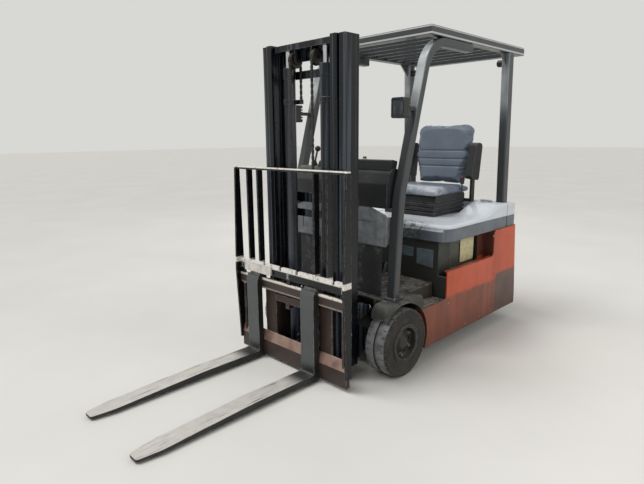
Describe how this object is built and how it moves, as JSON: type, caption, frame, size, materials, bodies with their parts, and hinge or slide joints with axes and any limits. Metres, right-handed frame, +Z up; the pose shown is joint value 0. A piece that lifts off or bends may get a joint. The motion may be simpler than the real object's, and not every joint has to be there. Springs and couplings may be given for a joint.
{
  "type": "three-wheel electric counterbalance forklift truck",
  "caption": "Electric counterbalance forklift with an overhead guard, a two-stage tilting mast, fork carriage with load backrest, steered rear twin wheels and an opening battery hood.",
  "frame": {"origin": "on the floor under the middle of the whole length, which is also under the front axle's centre", "axes": "+X to the truck's left, +Y to its rear, forks towards -Y, +Z up"},
  "size_m": [1.06, 3, 2.008],
  "materials": {
    "tyre_rubber": "dusty black solid rubber",
    "rim_paint": "dark grey paint, satin, worn",
    "axle_iron": "dark oily casting",
    "frame_paint": "dark grey paint, dusty",
    "floor_steel": "dark worn plate",
    "body_paint": "orange-red paint, scuffed and dirty low down",
    "battery_steel": "reddish brown paint, worn",
    "cast_paint": "orange-red paint on a smooth casting",
    "hood_plastic": "light grey, satin",
    "guard_paint": "charcoal paint, satin",
    "lamp_plastic": "black",
    "cowl_plastic": "grey, lightly grained and dusty",
    "dash_plastic": "black, grained",
    "grip_rubber": "black grip",
    "pedal_steel": "black paint with rubber pads",
    "seat_plastic": "black",
    "seat_vinyl": "blue-grey vinyl with sewn channels",
    "mast_paint": "black paint, glossy, worn at edges",
    "rod_chrome": "polished",
    "chain_steel": "oiled",
    "carriage_paint": "dark paint rubbed to rusty brown",
    "fork_steel": "black paint, worn light on the blade"
  },
  "bodies": {
    "chassis": {"frame": "frame_paint", "floor_plate": "floor_steel", "side_shell_left": "body_paint", "side_shell_right": "body_paint", "fenders": "frame_paint", "steps": "floor_steel", "battery": "battery_steel", "front_axle": "axle_iron", "counterweight": "cast_paint", "tail_cover": "hood_plastic", "guard_front_pillars": "guard_paint", "guard_rear_pillars": "guard_paint", "guard_roof": "guard_paint", "headlamps": "lamp_plastic", "rear_lamps": "lamp_plastic", "cowl": "cowl_plastic", "dashboard": "dash_plastic", "steering_column": "dash_plastic", "pedals": "pedal_steel", "control_levers": "grip_rubber"},
    "front_wheel_left": {"front_tyre_left": "tyre_rubber", "front_rim_left": "rim_paint"},
    "front_wheel_right": {"front_tyre_right": "tyre_rubber", "front_rim_right": "rim_paint"},
    "steer": {"steer_yoke": "axle_iron"},
    "rear_wheels": {"rear_tyres": "tyre_rubber", "rear_rims": "rim_paint"},
    "outer_mast": {"mast_outer": "mast_paint", "lift_cylinders": "mast_paint"},
    "inner_mast": {"mast_inner": "mast_paint", "lift_rods": "rod_chrome", "chain_sheaves": "chain_steel", "chain_front": "chain_steel", "chain_rear": "chain_steel"},
    "carriage": {"carriage": "carriage_paint", "load_backrest": "mast_paint", "fork_left": "fork_steel", "fork_right": "fork_steel"},
    "tilt_barrel_left": {"tilt_barrel_left": "mast_paint"},
    "tilt_barrel_right": {"tilt_barrel_right": "mast_paint"},
    "tilt_rod_left": {"tilt_rod_left": "rod_chrome"},
    "tilt_rod_right": {"tilt_rod_right": "rod_chrome"},
    "hood": {"hood": "hood_plastic", "seat_base": "seat_plastic", "seat_cushion": "seat_vinyl", "seat_back": "seat_vinyl", "seat_restraints": "seat_plastic"},
    "steering_wheel": {"steering_wheel": "grip_rubber"}
  },
  "joints": [
    {"name": "front_wheel_left_spin", "type": "hinge", "parent": "chassis", "child": "front_wheel_left", "pos_m": [0.454, 0, 0.203], "axis": [1, 0, 0], "continuous": true},
    {"name": "front_wheel_right_spin", "type": "hinge", "parent": "chassis", "child": "front_wheel_right", "pos_m": [-0.454, 0, 0.203], "axis": [1, 0, 0], "continuous": true},
    {"name": "rear_steer", "type": "hinge", "parent": "chassis", "child": "steer", "pos_m": [0, 1.225, 0.447], "axis": [0, 0, 1], "range_deg": [-85, 85]},
    {"name": "rear_wheels_spin", "type": "hinge", "parent": "steer", "child": "rear_wheels", "pos_m": [0, 1.225, 0.1905], "axis": [1, 0, 0], "continuous": true},
    {"name": "mast_tilt", "type": "hinge", "parent": "chassis", "child": "outer_mast", "pos_m": [0, -0.095, 0.203], "axis": [1, 0, 0], "range_deg": [-6, 5]},
    {"name": "inner_mast_lift", "type": "slide", "parent": "outer_mast", "child": "inner_mast", "axis": [0, 0, 1], "range_m": [0, 1.36], "deforming": ["chain_rear"]},
    {"name": "carriage_lift", "type": "slide", "parent": "inner_mast", "child": "carriage", "axis": [0, 0, 1], "range_m": [0, 1.36], "deforming": ["chain_front"]},
    {"name": "hood_open", "type": "hinge", "parent": "chassis", "child": "hood", "pos_m": [0, 1.274, 0.906], "axis": [-1, 0, 0], "range_deg": [0, 45]},
    {"name": "steering_wheel_turn", "type": "hinge", "parent": "chassis", "child": "steering_wheel", "pos_m": [0, 0.284, 1.106], "axis": [0, 0.2425, 0.9701], "continuous": true},
    {"name": "tilt_barrel_left_swing", "type": "hinge", "parent": "chassis", "child": "tilt_barrel_left", "pos_m": [0.3, 0.4, 0.33], "axis": [1, 0, 0], "range_deg": [-1, 1]},
    {"name": "tilt_rod_left_slide", "type": "slide", "parent": "tilt_barrel_left", "child": "tilt_rod_left", "axis": [0, -0.9919, 0.1269], "range_m": [-0.021, 0.018]},
    {"name": "tilt_barrel_right_swing", "type": "hinge", "parent": "chassis", "child": "tilt_barrel_right", "pos_m": [-0.3, 0.4, 0.33], "axis": [1, 0, 0], "range_deg": [-1, 1]},
    {"name": "tilt_rod_right_slide", "type": "slide", "parent": "tilt_barrel_right", "child": "tilt_rod_right", "axis": [0, -0.9919, 0.1269], "range_m": [-0.021, 0.018]}
  ],
  "couplings": [
    {"joint": "carriage_lift", "follows": "inner_mast_lift", "ratio": 1},
    {"joint": "tilt_barrel_left_swing", "follows": "mast_tilt", "ratio": 0.06826},
    {"joint": "tilt_rod_left_slide", "follows": "mast_tilt", "m_per_rad": 0.18908},
    {"joint": "tilt_barrel_right_swing", "follows": "mast_tilt", "ratio": 0.06826},
    {"joint": "tilt_rod_right_slide", "follows": "mast_tilt", "m_per_rad": 0.18908}
  ]
}
